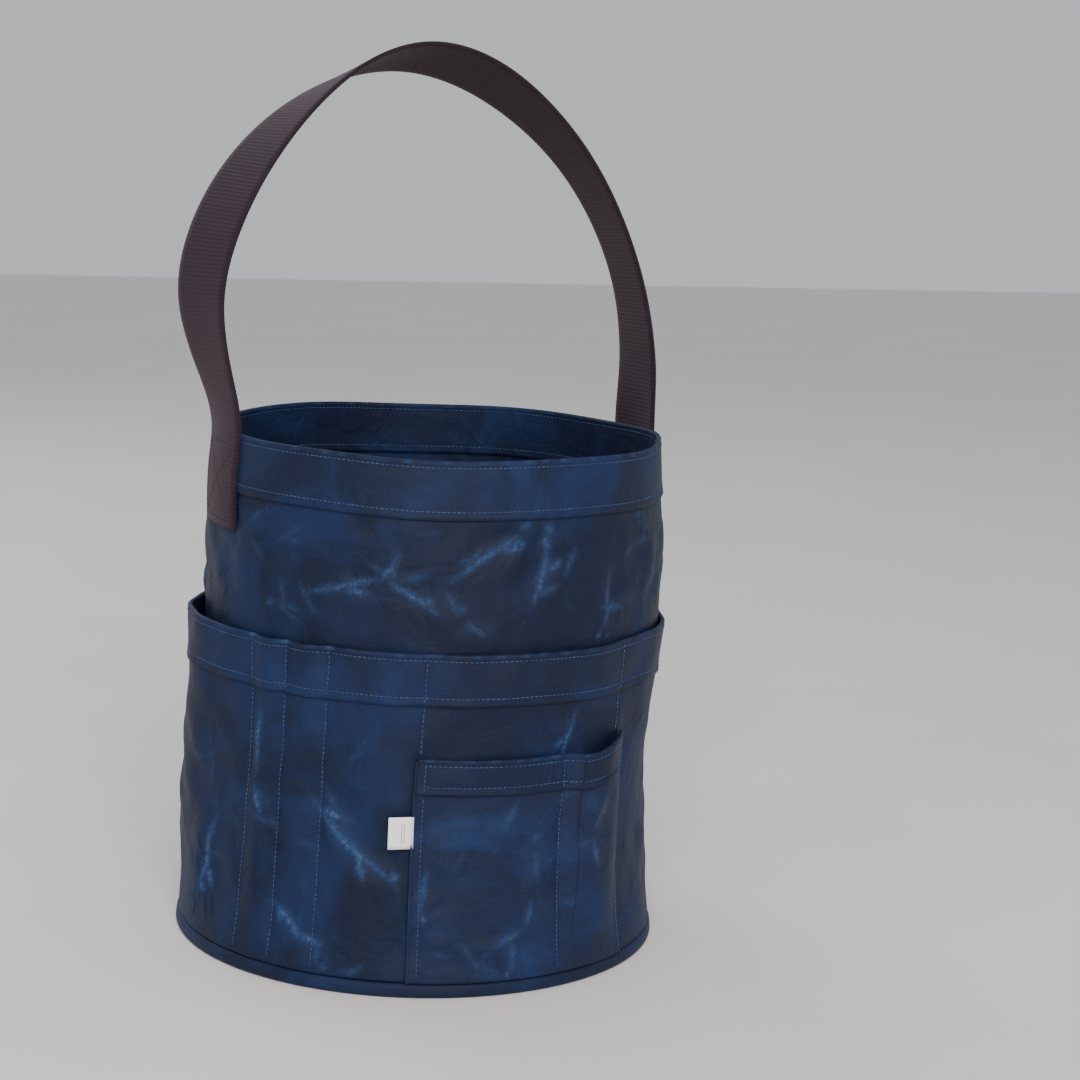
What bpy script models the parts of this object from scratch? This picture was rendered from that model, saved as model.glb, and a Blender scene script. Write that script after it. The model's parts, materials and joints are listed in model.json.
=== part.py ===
"""Bucket bag in waxed canvas, with a ring of outside pockets and a webbing handle.

The bag stands on the XY plane with its base centred on the origin. The front is towards -Y, and the handle is
sewn on at +X and -X. An azimuth is an angle around the bag in degrees, from the front (0) towards +X (90).
All lengths are in metres.
"""

from math import atan2, cos, pi, radians, sin, sqrt

import bmesh
import bpy
import numpy as np
from mathutils import Vector

# Driving dimensions
HEIGHT = 0.300
CLOTH = 0.0010
GAP = 0.0003
THREAD = 0.0007

# Outer radius of the wall cloth at each height
WALL_HEIGHTS = (0.0087, 0.050, 0.100, 0.150, 0.220, 0.268, 0.300)
WALL_RADII = (0.1370, 0.1350, 0.1340, 0.1335, 0.1340, 0.1325, 0.1305)

BASE_RADIUS = 0.1435
BASE_LIP_HEIGHT = 0.0083
BASE_LIP_INSET = 0.0015
STIFFENER_RADIUS = 0.1355
STIFFENER_THICKNESS = 0.0025
LINING_RADIUS = 0.1360
SEAM_BINDING_HEIGHT = 0.012
SEAM_BINDING_THICKNESS = 0.003
SEAM_TAPE_WIDTH = 0.020

RIM_BAND = 0.032
POCKET_BOTTOM = WALL_HEIGHTS[0]
POCKET_TOP = 0.193
POCKET_BAND = 0.029
POCKET_STANDOFF = CLOTH + 2 * GAP
PATCH_STANDOFF = CLOTH + 4 * GAP
POCKET_RISE = 0.090
POCKET_ROWS = (0.030, 0.055, 0.098, 0.150)

# Outside pockets: azimuths of the two side seams, fullness at the middle, and columns across
POCKETS = (
    (-69.0, -58.0, 0.0076, 4),
    (-58.0, -47.0, 0.0076, 4),
    (-47.0, -24.0, 0.0074, 6),
    (-24.0, 31.0, 0.0070, 12),
    (31.0, 92.0, 0.0070, 8),
    (92.0, 150.0, 0.0070, 8),
    (150.0, 210.0, 0.0070, 8),
    (210.0, 232.0, 0.0074, 6),
    (232.0, 291.0, 0.0070, 8),
)

# Patch pocket: a flat compartment and a bellows compartment, sewn over the front pocket
PATCH_LEFT = -24.2
PATCH_RIGHT = 33.4
PATCH_TOP = 0.1345
PATCH_CORNER_RISE = 0.0045
PATCH_BAND = 0.020
PATCH_POCKETS = ((-21.8, 11.8, 0.0030), (11.8, 32.4, 0.0065))
PATCH_ROW_SHARES = (0.0, 0.15, 0.35, 0.7, 1.0)

LABEL_WIDTH = 0.014
LABEL_LOW = 0.084
LABEL_HIGH = 0.102
LABEL_THICKNESS = 0.0005

STITCH_TOP_INSET = 0.004
STITCH_LOW_INSET = 0.0045
STITCH_CLEARANCE = GAP + THREAD / 2

# Upright seam threads: where they start, and how they step out over a band
SEAM_LOW = 0.012
SEAM_ABOVE_PATCH = 0.004
SEAM_BAND_INSET = 0.0015
SEAM_STEP_RUN = 0.001

WEBBING_WIDTH = 0.050
WEBBING_THICKNESS = 0.0022
SEWN_END_LOW = 0.247
SEWN_END_HIGH = HEIGHT + 0.004
SEWN_STANDOFF = 2 * GAP + THREAD
BOX_STITCH_INSET = 0.005
PIVOT_HEIGHT = HEIGHT + 0.038

# Arch of the free webbing, from its left seam to its right one
ARCH_HALF_SPAN = 0.134
ARCH_RISE = 0.215
ARCH_BELLY = 0.018
ARCH_SWAY = 0.011
ARCH_LEAN = 0.018
ARCH_CURL = 12.0
ARCH_SKEW = 6.0
HANDLE_SAMPLES = 600
HANDLE_ROWS = 40
HANDLE_TIP_HALF_WIDTH = 0.0009

# Shares of half the webbing's width: depths of its rounded ends' rows, then its columns, free and sewn
END_ROW_SHARES = (0.99, 0.93, 0.8, 0.6, 0.35, 0.0)
FREE_COLUMN_SHARES = (-1.0, -0.4, 0.4, 1.0)
SEWN_COLUMN_SHARES = (-1.0, -0.5, 0.0, 0.5, 1.0)

# Fineness of the shapes
COLUMN_SPACING = 1.5
MERGE_DISTANCE = 0.00001
TURN_STEPS = 72
TURN_MERGE_DISTANCE = 0.0001
DISC_SEGMENTS = 64

# Colour, roughness and metallic value of each material
NAVY = ((0.020, 0.030, 0.062, 1.0), 0.55, 0.0)
PALE_NAVY = ((0.030, 0.044, 0.085, 1.0), 0.60, 0.0)
DARK_NAVY = ((0.012, 0.018, 0.038, 1.0), 0.65, 0.0)
AUBERGINE = ((0.055, 0.030, 0.042, 1.0), 0.80, 0.0)
BLUE_THREAD = ((0.080, 0.130, 0.260, 1.0), 0.60, 0.0)
DARK_THREAD = ((0.030, 0.018, 0.028, 1.0), 0.60, 0.0)
WHITE_TAPE = ((0.780, 0.780, 0.750, 1.0), 0.85, 0.0)
GREY_BOARD = ((0.180, 0.170, 0.160, 1.0), 0.70, 0.0)


# --- scene, materials and generic builders ---

def clear_scene():
    for item in list(bpy.data.objects):
        bpy.data.objects.remove(item, do_unlink=True)


def make_material(name, finish):
    colour, roughness, metallic = finish
    material = bpy.data.materials.new(name)
    material.use_nodes = True
    shader = material.node_tree.nodes["Principled BSDF"]
    shader.inputs["Base Color"].default_value = colour
    shader.inputs["Roughness"].default_value = roughness
    shader.inputs["Metallic"].default_value = metallic
    return material


def add_object(name, data, finish, collection):
    item = bpy.data.objects.new(name, data)
    item.data.materials.append(make_material(name + "_material", finish))
    collection.objects.link(item)
    return item


def on_bag(azimuth, radius, height):
    """Point at an azimuth in degrees, a radius and a height."""
    angle = radians(azimuth)
    return Vector((radius * sin(angle), -radius * cos(angle), height))


def bent_sheet(name, columns, rows, place, thickness, side, finish, collection):
    """Open grid laid out by place(column, row) and thickened; side is +1 outward, 0 both ways."""
    bm = bmesh.new()
    across = len(columns) - 1
    along = len(rows) - 1
    bmesh.ops.create_grid(bm, x_segments=across, y_segments=along, size=0.5)
    for vert in bm.verts:
        column = columns[round((vert.co.x + 0.5) * across)]
        row = rows[round((vert.co.y + 0.5) * along)]
        vert.co = place(column, row)
    bmesh.ops.remove_doubles(bm, verts=bm.verts, dist=MERGE_DISTANCE)
    mesh = bpy.data.meshes.new(name)
    bm.to_mesh(mesh)
    bm.free()
    mesh.shade_smooth()
    item = add_object(name, mesh, finish, collection)
    solidify = item.modifiers.new("Thickness", "SOLIDIFY")
    solidify.thickness = thickness
    solidify.offset = side
    solidify.use_even_offset = True
    return item


def turned(name, profile, closed, finish, collection):
    """Profile of (radius, height) points turned about the Z axis."""
    count = len(profile)
    edges = [(i, i + 1) for i in range(count - 1)]
    if closed:
        edges.append((count - 1, 0))
    mesh = bpy.data.meshes.new(name)
    mesh.from_pydata([(radius, 0.0, height) for radius, height in profile], edges, [])
    item = add_object(name, mesh, finish, collection)
    screw = item.modifiers.new("Turn", "SCREW")
    screw.steps = TURN_STEPS
    screw.render_steps = TURN_STEPS
    screw.use_merge_vertices = True
    screw.merge_threshold = TURN_MERGE_DISTANCE
    screw.use_smooth_shade = True
    return item


def disc(name, radius, low, thickness, finish, collection):
    bm = bmesh.new()
    bmesh.ops.create_cone(
        bm, cap_ends=True, segments=DISC_SEGMENTS, radius1=radius, radius2=radius, depth=thickness
    )
    mesh = bpy.data.meshes.new(name)
    bm.to_mesh(mesh)
    bm.free()
    item = add_object(name, mesh, finish, collection)
    item.location.z = low + thickness / 2
    return item


def thread(name, runs, closed, finish, collection):
    """One or more runs of sewing thread, each a list of points."""
    curve = bpy.data.curves.new(name, "CURVE")
    curve.dimensions = "3D"
    curve.bevel_depth = THREAD / 2
    curve.bevel_resolution = 0
    curve.use_fill_caps = True
    for points in runs:
        spline = curve.splines.new("POLY")
        spline.points.add(len(points) - 1)
        for knot, point in zip(spline.points, points):
            knot.co = (*point, 1.0)
        spline.use_cyclic_u = closed
    return add_object(name, curve, finish, collection)


# --- surfaces of the bag ---

def wall_radius(height):
    """Outer radius of the wall cloth."""
    return float(np.interp(height, WALL_HEIGHTS, WALL_RADII))


def hump(azimuth, start, end):
    """Fullness across a pocket: 0 at its side seams, 1 in the middle."""
    return sin(pi * (azimuth - start) / (end - start)) ** 2


def rise(height):
    """Fullness up a pocket: 0 at its bottom seam, 1 from POCKET_RISE up."""
    return sin(pi / 2 * min(1.0, max(0.0, (height - POCKET_BOTTOM) / POCKET_RISE)))


def pocket_inner(azimuth, height):
    """Inner radius of the pocket cloth."""
    around = (azimuth - POCKETS[0][0]) % 360 + POCKETS[0][0]
    fullness = 0.0
    for start, end, depth, _ in POCKETS:
        if start <= around < end:
            fullness = depth * hump(around, start, end) * rise(height)
    return wall_radius(height) + POCKET_STANDOFF + fullness


def pocket_outer(azimuth, height):
    return pocket_inner(azimuth, height) + CLOTH


def patch_inner(azimuth, height):
    """Inner radius of the patch pocket's cloth."""
    fullness = 0.0
    for start, end, depth in PATCH_POCKETS:
        if start <= azimuth <= end:
            fullness = depth * hump(azimuth, start, end) * rise(height)
    return pocket_outer(azimuth, height) + PATCH_STANDOFF + fullness


def patch_outer(azimuth, height):
    return patch_inner(azimuth, height) + CLOTH


def patch_top(azimuth):
    """Height of the patch pocket's top edge, which climbs along the bellows compartment."""
    start, end, _ = PATCH_POCKETS[1]
    share = min(1.0, max(0.0, (azimuth - start) / (end - start)))
    return PATCH_TOP + PATCH_CORNER_RISE * share


def rim_binding_outer(height):
    """Outer radius of the rim binding, or of the wall below it."""
    if height >= HEIGHT - RIM_BAND:
        return wall_radius(height) + GAP + CLOTH
    return wall_radius(height)


def columns_around():
    """Azimuths of the columns once around the bag, with one on every pocket seam."""
    azimuths = []
    for start, end, _, count in POCKETS:
        azimuths += [start + (end - start) * i / count for i in range(count)]
    return azimuths + [POCKETS[-1][1]]


def columns_across_patch():
    """Azimuths of the columns across the patch pocket: the front pocket's, the hems and its own seams."""
    marks = {PATCH_LEFT, PATCH_RIGHT}
    for start, end, _ in PATCH_POCKETS:
        marks |= {start, end, (start + end) / 2}
    around = [a for a in columns_around() if PATCH_LEFT < a < PATCH_RIGHT]
    marks |= {a for a in around if min(abs(a - mark) for mark in marks) > COLUMN_SPACING}
    return sorted(marks)


def folded_over(inner, outer, azimuth, row, top, band):
    """Middle of a strip folded over a top edge; rows 0 to 5 run up the outside and down the inside."""
    height = (top - band, top - band / 2, top - CLOTH / 2)[min(row, 5 - row)]
    if row < 3:
        return on_bag(azimuth, outer(azimuth, height) + GAP + CLOTH / 2, height)
    return on_bag(azimuth, inner(azimuth, height) - GAP - CLOTH / 2, height)


def seam_run(azimuth, low, heights, top, band, outer):
    """Upright seam thread on the face outer(azimuth, height), which steps out over the band at the top."""
    step = top - band - SEAM_BAND_INSET
    under = step - SEAM_STEP_RUN
    flat = [low] + [z for z in heights if low < z < under] + [under]
    run = [on_bag(azimuth, outer(azimuth, z) + STITCH_CLEARANCE, z) for z in flat]
    over_rows = GAP + CLOTH + STITCH_CLEARANCE + THREAD + GAP
    return run + [on_bag(azimuth, outer(azimuth, z) + over_rows, z) for z in (step, top - SEAM_BAND_INSET)]


# --- base ---

def build_base(collection):
    fold = BASE_LIP_HEIGHT / 2
    lip_radius = BASE_RADIUS - BASE_LIP_INSET
    inner_fold = fold - CLOTH
    corner = BASE_RADIUS - fold
    angles = (0, pi / 6, pi / 3, pi / 2)
    outer_turn = [(corner + fold * sin(angle), fold - fold * cos(angle)) for angle in reversed(angles)]
    inner_turn = [(corner + inner_fold * sin(angle), fold - inner_fold * cos(angle)) for angle in angles]
    profile = [(0.0, CLOTH)] + inner_turn
    profile += [(lip_radius - CLOTH, BASE_LIP_HEIGHT), (lip_radius, BASE_LIP_HEIGHT)]
    profile += outer_turn + [(0.0, 0.0)]
    turned("base_panel", profile, False, DARK_NAVY, collection)

    board_low = CLOTH + GAP
    disc("base_stiffener", STIFFENER_RADIUS, board_low, STIFFENER_THICKNESS, GREY_BOARD, collection)
    lining_low = board_low + STIFFENER_THICKNESS + GAP
    disc("base_lining", LINING_RADIUS, lining_low, CLOTH, NAVY, collection)

    low = POCKET_BOTTOM
    high = low + SEAM_BINDING_HEIGHT
    outer_low = wall_radius(low) - CLOTH - GAP
    outer_high = wall_radius(high) - CLOTH - GAP
    ring = [(outer_high, high), (outer_low, low)]
    ring += [(outer_low - SEAM_BINDING_THICKNESS, low), (outer_high - SEAM_BINDING_THICKNESS, high)]
    turned("base_seam_binding", ring, True, PALE_NAVY, collection)


# --- wall and rim ---

def build_wall(collection):
    columns = columns_around()
    wall_top = HEIGHT - CLOTH - GAP
    heights = [z for z in WALL_HEIGHTS if z < wall_top] + [wall_top]

    def wall_place(azimuth, height):
        return on_bag(azimuth, wall_radius(height) - CLOTH, height)

    bent_sheet("wall_panel", columns, heights, wall_place, CLOTH, 1, NAVY, collection)

    def wall_face(_, height):
        return wall_radius(height)

    def wall_back(_, height):
        return wall_radius(height) - CLOTH

    def binding_place(azimuth, row):
        return folded_over(wall_back, wall_face, azimuth, row, HEIGHT, RIM_BAND)

    bent_sheet("rim_binding", columns, range(6), binding_place, CLOTH, 0, PALE_NAVY, collection)

    half_angle = np.degrees(SEAM_TAPE_WIDTH / 2 / wall_radius(HEIGHT / 2))
    tape_columns = [180 - half_angle, 180, 180 + half_angle]
    tape_low = POCKET_BOTTOM + SEAM_BINDING_HEIGHT + 2 * GAP
    tape_high = HEIGHT - RIM_BAND - 2 * GAP
    tape_heights = [tape_low] + [z for z in WALL_HEIGHTS if tape_low < z < tape_high] + [tape_high]

    def tape_place(azimuth, height):
        return on_bag(azimuth, wall_radius(height) - CLOTH - 2 * GAP - CLOTH, height)

    bent_sheet("back_seam_tape", tape_columns, tape_heights, tape_place, CLOTH, 1, PALE_NAVY, collection)

    for name, height in (
        ("rim_stitch_upper", HEIGHT - STITCH_TOP_INSET),
        ("rim_stitch_lower", HEIGHT - RIM_BAND + STITCH_LOW_INSET),
    ):
        radius = rim_binding_outer(height) + STITCH_CLEARANCE
        loop = [on_bag(azimuth, radius, height) for azimuth in columns[:-1]]
        thread(name, [loop], True, BLUE_THREAD, collection)


# --- ring of outside pockets ---

def build_pockets(collection):
    columns = columns_around()
    panel_top = POCKET_TOP - CLOTH - GAP
    heights = [POCKET_BOTTOM, *POCKET_ROWS, panel_top]

    def panel_place(azimuth, height):
        return on_bag(azimuth, pocket_inner(azimuth, height), height)

    bent_sheet("pocket_panel", columns, heights, panel_place, CLOTH, 1, NAVY, collection)

    def binding_place(azimuth, row):
        return folded_over(pocket_inner, pocket_outer, azimuth, row, POCKET_TOP, POCKET_BAND)

    bent_sheet("pocket_binding", columns, range(6), binding_place, CLOTH, 0, PALE_NAVY, collection)

    face = GAP + CLOTH + STITCH_CLEARANCE
    row_heights = (POCKET_TOP - STITCH_TOP_INSET, POCKET_TOP - POCKET_BAND + STITCH_LOW_INSET)
    for name, height in zip(("pocket_stitch_upper", "pocket_stitch_lower"), row_heights):
        loop = [on_bag(azimuth, pocket_outer(azimuth, height) + face, height) for azimuth in columns[:-1]]
        thread(name, [loop], True, BLUE_THREAD, collection)

    for number, (azimuth, _, _, _) in enumerate(POCKETS, 1):
        behind_patch = PATCH_LEFT < azimuth < PATCH_RIGHT
        low = patch_top(azimuth) + SEAM_ABOVE_PATCH if behind_patch else SEAM_LOW
        run = seam_run(azimuth, low, heights, POCKET_TOP, POCKET_BAND, pocket_outer)
        thread(f"divider_stitch_{number}", [run], False, BLUE_THREAD, collection)


# --- patch pocket and label ---

def build_patch(collection):
    columns = columns_across_patch()

    def panel_place(azimuth, share):
        top = patch_top(azimuth) - CLOTH - GAP
        height = POCKET_BOTTOM + (top - POCKET_BOTTOM) * share
        return on_bag(azimuth, patch_inner(azimuth, height), height)

    bent_sheet("patch_pocket_panel", columns, PATCH_ROW_SHARES, panel_place, CLOTH, 1, NAVY, collection)

    def binding_place(azimuth, row):
        return folded_over(patch_inner, patch_outer, azimuth, row, patch_top(azimuth), PATCH_BAND)

    bent_sheet("patch_pocket_binding", columns, range(6), binding_place, CLOTH, 0, PALE_NAVY, collection)

    face = GAP + CLOTH + STITCH_CLEARANCE
    rows = (("patch_stitch_upper", STITCH_TOP_INSET), ("patch_stitch_lower", PATCH_BAND - STITCH_LOW_INSET))
    for name, drop in rows:
        run = []
        for azimuth in columns[1:-1]:
            height = patch_top(azimuth) - drop
            run.append(on_bag(azimuth, patch_outer(azimuth, height) + face, height))
        thread(name, [run], False, BLUE_THREAD, collection)

    seams = (PATCH_POCKETS[0][0], PATCH_POCKETS[1][0], PATCH_POCKETS[1][1])
    for name, azimuth in zip(("patch_seam_left", "patch_seam_middle", "patch_seam_right"), seams):
        top = patch_top(azimuth)
        run = seam_run(azimuth, SEAM_LOW, POCKET_ROWS, top, PATCH_BAND, patch_outer)
        thread(name, [run], False, BLUE_THREAD, collection)


def build_label(collection):
    """Woven tab with its origin on its sewn edge, beside the patch pocket's left hem."""
    middle = (LABEL_LOW + LABEL_HIGH) / 2
    stand = GAP + LABEL_THICKNESS
    root_azimuth = PATCH_LEFT - np.degrees(2 * GAP / BASE_RADIUS)
    tip_azimuth = root_azimuth - np.degrees(LABEL_WIDTH / BASE_RADIUS)
    root = on_bag(root_azimuth, pocket_outer(root_azimuth, middle) + stand, middle)
    tip = on_bag(tip_azimuth, pocket_outer(tip_azimuth, middle) + stand, middle)
    along = root - tip
    bm = bmesh.new()
    bmesh.ops.create_cube(bm, size=1.0)
    height = LABEL_HIGH - LABEL_LOW
    for vert in bm.verts:
        vert.co = Vector(((vert.co.x - 0.5) * LABEL_WIDTH, vert.co.y * LABEL_THICKNESS, vert.co.z * height))
    mesh = bpy.data.meshes.new("side_label")
    bm.to_mesh(mesh)
    bm.free()
    label = add_object("side_label", mesh, WHITE_TAPE, collection)
    label.location = root
    label.rotation_euler.z = atan2(along.y, along.x)


# --- handle ---

def handle_line(samples):
    """Centre points and width directions along the free webbing.

    The arch is half an ellipse that bellies out above the rim, sways to the left and leans back at the top.
    The webbing curls one way above each seam and the other way at the top, more on the left than the right.
    """
    turn = np.linspace(0.0, pi, samples)
    belly = ARCH_BELLY * np.sin(2 * turn) * np.cos(turn) ** 2
    share = np.minimum(1.0, 2 * np.sin(turn))
    sway = ARCH_SWAY * share * share * (3 - 2 * share)
    x = -ARCH_HALF_SPAN * np.cos(turn) - belly - sway
    points = np.stack([x, ARCH_LEAN * np.sin(turn) ** 2, HEIGHT + ARCH_RISE * np.sin(turn)], axis=1)
    twist = np.radians(ARCH_CURL * np.sin(3 * turn) + ARCH_SKEW * (np.sin(2 * turn) - np.sin(turn)))
    forward = np.gradient(points, axis=0)
    forward /= np.linalg.norm(forward, axis=1, keepdims=True)
    level = np.array([0.0, 1.0, 0.0]) - forward[:, 1:2] * forward
    level /= np.linalg.norm(level, axis=1, keepdims=True)
    normal = np.cross(forward, level)
    across = np.cos(twist)[:, None] * level + np.sin(twist)[:, None] * normal
    return points, across


def build_handle(collection):
    """Free webbing, ended by half discs about the swing axis so that it turns clear of its sewn ends."""
    points, across = handle_line(HANDLE_SAMPLES)
    heights = points[:, 2]
    half_width = WEBBING_WIDTH / 2
    apex = int(np.argmax(heights))
    drops = half_width * np.array(END_ROW_SHARES)
    left = np.interp(PIVOT_HEIGHT - drops, heights[:apex], np.arange(apex))
    right = np.interp(PIVOT_HEIGHT - drops, heights[:apex:-1], np.arange(HANDLE_SAMPLES - 1, apex, -1))
    along = np.linspace(left[-1], right[-1], HANDLE_ROWS)
    stops = list(left[:-1]) + list(along) + list(right[-2::-1])

    def webbing_place(stop, side):
        index = int(round(stop))
        below = max(0.0, PIVOT_HEIGHT - heights[index])
        half = sqrt(max(half_width ** 2 - below ** 2, HANDLE_TIP_HALF_WIDTH ** 2))
        return Vector(points[index] + across[index] * side * half)

    columns = FREE_COLUMN_SHARES
    bent_sheet("handle_webbing", stops, columns, webbing_place, WEBBING_THICKNESS, 0, AUBERGINE, collection)


def build_sewn_end(side, middle, collection):
    """End of the webbing where it lies sewn against the outside of the wall and the rim binding."""
    radius = rim_binding_outer(HEIGHT - RIM_BAND) + SEWN_STANDOFF
    half_angle = np.degrees(WEBBING_WIDTH / 2 / radius)
    columns = [middle + half_angle * share for share in SEWN_COLUMN_SHARES]

    def end_place(azimuth, height):
        return on_bag(azimuth, radius, height)

    heights = (SEWN_END_LOW, SEWN_END_HIGH)
    bent_sheet(f"handle_end_{side}", columns, heights, end_place, WEBBING_THICKNESS, 1, AUBERGINE, collection)

    inset_angle = half_angle - np.degrees(BOX_STITCH_INSET / radius)
    azimuths = [middle + inset_angle * share for share in SEWN_COLUMN_SHARES]
    face = radius + WEBBING_THICKNESS + 2 * STITCH_CLEARANCE
    loop = [on_bag(azimuth, face, SEWN_END_LOW + BOX_STITCH_INSET) for azimuth in azimuths]
    loop += [on_bag(azimuth, face, HEIGHT - BOX_STITCH_INSET) for azimuth in reversed(azimuths)]
    thread(f"handle_stitch_{side}", [loop], True, DARK_THREAD, collection)


def main():
    clear_scene()
    collection = bpy.data.collections.new("bucket_bag")
    bpy.context.scene.collection.children.link(collection)
    build_base(collection)
    build_wall(collection)
    build_pockets(collection)
    build_patch(collection)
    build_label(collection)
    build_handle(collection)
    build_sewn_end("left", -90.0, collection)
    build_sewn_end("right", 90.0, collection)


main()
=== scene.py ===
"""Looks of the bucket bag: waxed canvas, folded bands, single stitches and one continuous webbing handle.

Pieces of the bag are laid out by azimuth (degrees round the bag, 0 at the front, positive towards +X) and by
height, in metres, on the frame that the CAD model gives.
"""

import json
from math import cos, pi, radians, sin

import bpy
import numpy as np
from mathutils import Matrix, Vector


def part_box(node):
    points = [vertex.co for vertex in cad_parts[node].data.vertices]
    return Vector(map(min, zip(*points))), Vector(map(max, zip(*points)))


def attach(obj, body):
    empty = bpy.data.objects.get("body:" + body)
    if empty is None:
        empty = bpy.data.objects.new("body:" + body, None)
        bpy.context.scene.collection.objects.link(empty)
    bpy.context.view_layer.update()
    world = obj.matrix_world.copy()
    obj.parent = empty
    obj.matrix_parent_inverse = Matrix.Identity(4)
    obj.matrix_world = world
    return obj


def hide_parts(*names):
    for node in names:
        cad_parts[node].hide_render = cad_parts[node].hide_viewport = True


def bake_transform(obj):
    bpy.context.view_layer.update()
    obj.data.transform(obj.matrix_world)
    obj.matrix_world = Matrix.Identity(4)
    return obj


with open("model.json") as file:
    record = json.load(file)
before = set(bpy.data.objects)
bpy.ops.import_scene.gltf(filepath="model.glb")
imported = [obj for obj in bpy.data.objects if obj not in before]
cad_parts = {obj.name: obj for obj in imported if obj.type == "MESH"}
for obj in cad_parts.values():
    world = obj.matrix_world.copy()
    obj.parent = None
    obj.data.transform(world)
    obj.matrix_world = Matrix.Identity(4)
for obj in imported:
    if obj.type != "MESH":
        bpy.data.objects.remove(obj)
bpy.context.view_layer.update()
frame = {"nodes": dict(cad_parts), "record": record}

MM = 0.001
BAG = "bag"
CLOTH = 0.8 * MM
SLACK = 0.2 * MM
SEAM_DEPTH = 0.25 * MM
MEAN_RADIUS = 0.135
RIPPLE_WAVES = 9
BAND_FACE = SLACK + CLOTH
ROW_DIMPLE = 0.22 * MM
ROW_FACE = BAND_FACE - ROW_DIMPLE
FIRST_ROW_DROP = 3.7 * MM

# Sizes that the frame gives
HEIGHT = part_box("rim_binding")[1][2]
RIM_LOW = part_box("rim_binding")[0][2]
POCKET_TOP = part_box("pocket_binding")[1][2]
POCKET_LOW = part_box("pocket_binding")[0][2]
POCKET_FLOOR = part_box("pocket_panel")[0][2]
BASE_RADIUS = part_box("base_panel")[1][0]
SEWN_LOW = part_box("handle_end_left")[0][2]
LABEL_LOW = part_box("side_label")[0][2]
LABEL_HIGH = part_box("side_label")[1][2]

# Patch pocket: heights in metres, and azimuths of its edges, seams and fold
PATCH_TOP = 0.1345
PATCH_BAND = 0.020
PATCH_LEFT, PATCH_HEM, PATCH_SEAM, PATCH_FOLD, PATCH_RIGHT = -24.2, -21.8, 11.8, 16.4, 33.8
PATCH_RIGHT_SEAM = PATCH_RIGHT - 1.0
PATCH_SEAMS = (PATCH_HEM, PATCH_SEAM, PATCH_RIGHT_SEAM)

# Outer face of the wall cloth at each height, and how far its rings shift along the lean, low and high
WALL_HEIGHTS = (0.0087, 0.050, 0.100, 0.150, 0.220, 0.268, 0.300)
WALL_RADII = (0.1390, 0.1350, 0.1325, 0.1325, 0.1345, 0.1325, 0.1305)
LEAN_LOW = -0.002
LEAN_HIGH = 0.002
LEAN = np.array((cos(radians(23)), -sin(radians(23)), 0.0))

# Outside pockets: azimuths of the two side seams and the cloth's fullness in the middle
POCKETS = (
    (-69.0, -58.0, 0.0034),
    (-58.0, -46.4, 0.0026),
    (-46.4, -23.2, 0.0026),
    (-23.2, 31.0, 0.0022),
    (31.0, 92.0, 0.0010),
    (92.0, 150.0, 0.0042),
    (150.0, 210.0, 0.0040),
    (210.0, 232.0, 0.0040),
    (232.0, 291.0, 0.0064),
)
SEAMS = tuple(start for start, _, _ in POCKETS)

# Arch of the free webbing: half an ellipse with a belly, a sway to the left, a lean back and a curl
ARCH_HALF_SPAN = 0.134
ARCH_RISE = 0.215
ARCH_BELLY = 0.018
ARCH_SWAY = 0.011
ARCH_LEAN = 0.018
ARCH_CURL = 12.0
ARCH_SKEW = 6.0
WEBBING_WIDTH = 0.050
WEBBING_THICKNESS = 0.0022
RIB = 0.0024
ROWS_PER_RIB = 4
FACE_RIB = 0.07 * MM
EDGE_RIB = 0.03 * MM

# The sewn ends hug a bag of this radius up to SEWN_TOP, and the webbing is flat across from FREE_FROM up
SEWN_RADIUS = 0.1335
SEWN_TOP = 0.298
FREE_FROM = 0.345

# Main creases: azimuth, height in millimetres, heading in degrees up from level, length in millimetres
WALL_CREASES = ((-55, 220, 10, 60), (-35, 235, -40, 35), (-20, 230, 30, 60), (0, 215, 60, 50),
                (25, 240, -100, 40), (20, 215, 0, 30))
POCKET_CREASES = ((-50, 110, -55, 80), (-65, 155, -95, 50), (-80, 85, -110, 60), (-60, 45, -30, 35),
                  (15, 160, -110, 35))
PATCH_CREASES = ((0, 35, -95, 25), (5, 55, -110, 15), (25, 110, -110, 30), (-20, 75, -100, 25))


# --- shapes of the bag ---

def natural_spline(knots, values, at):
    """Natural cubic spline through (knots, values), read at each of at."""
    knots, values, at = (np.array(x, float) for x in (knots, values, at))
    step = np.diff(knots)
    slope = np.diff(values) / step
    count = len(knots)
    matrix = np.eye(count)
    right = np.zeros(count)
    for i in range(1, count - 1):
        matrix[i, i - 1:i + 2] = step[i - 1], 2 * (step[i - 1] + step[i]), step[i]
        right[i] = 6 * (slope[i] - slope[i - 1])
    bend = np.linalg.solve(matrix, right)
    place = np.clip(np.searchsorted(knots, at, side="right") - 1, 0, count - 2)
    h = step[place]
    before = at - knots[place]
    after = knots[place + 1] - at
    curved = (bend[place] * after ** 3 + bend[place + 1] * before ** 3) / (6 * h)
    straight = (values[place] / h - bend[place] * h / 6) * after
    return curved + straight + (values[place + 1] / h - bend[place + 1] * h / 6) * before


def smooth(x, low, high):
    """0 up to low, 1 from high on, and an even S between them."""
    share = np.clip((x - low) / (high - low), 0.0, 1.0)
    return share * share * (3 - 2 * share)


def bell(x, width):
    return np.exp(-((x / width) ** 2))


def running_length(points):
    """Length along a line of points, at each of them."""
    return np.concatenate([[0.0], np.cumsum(np.linalg.norm(np.diff(points, axis=0), axis=1))])


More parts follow.
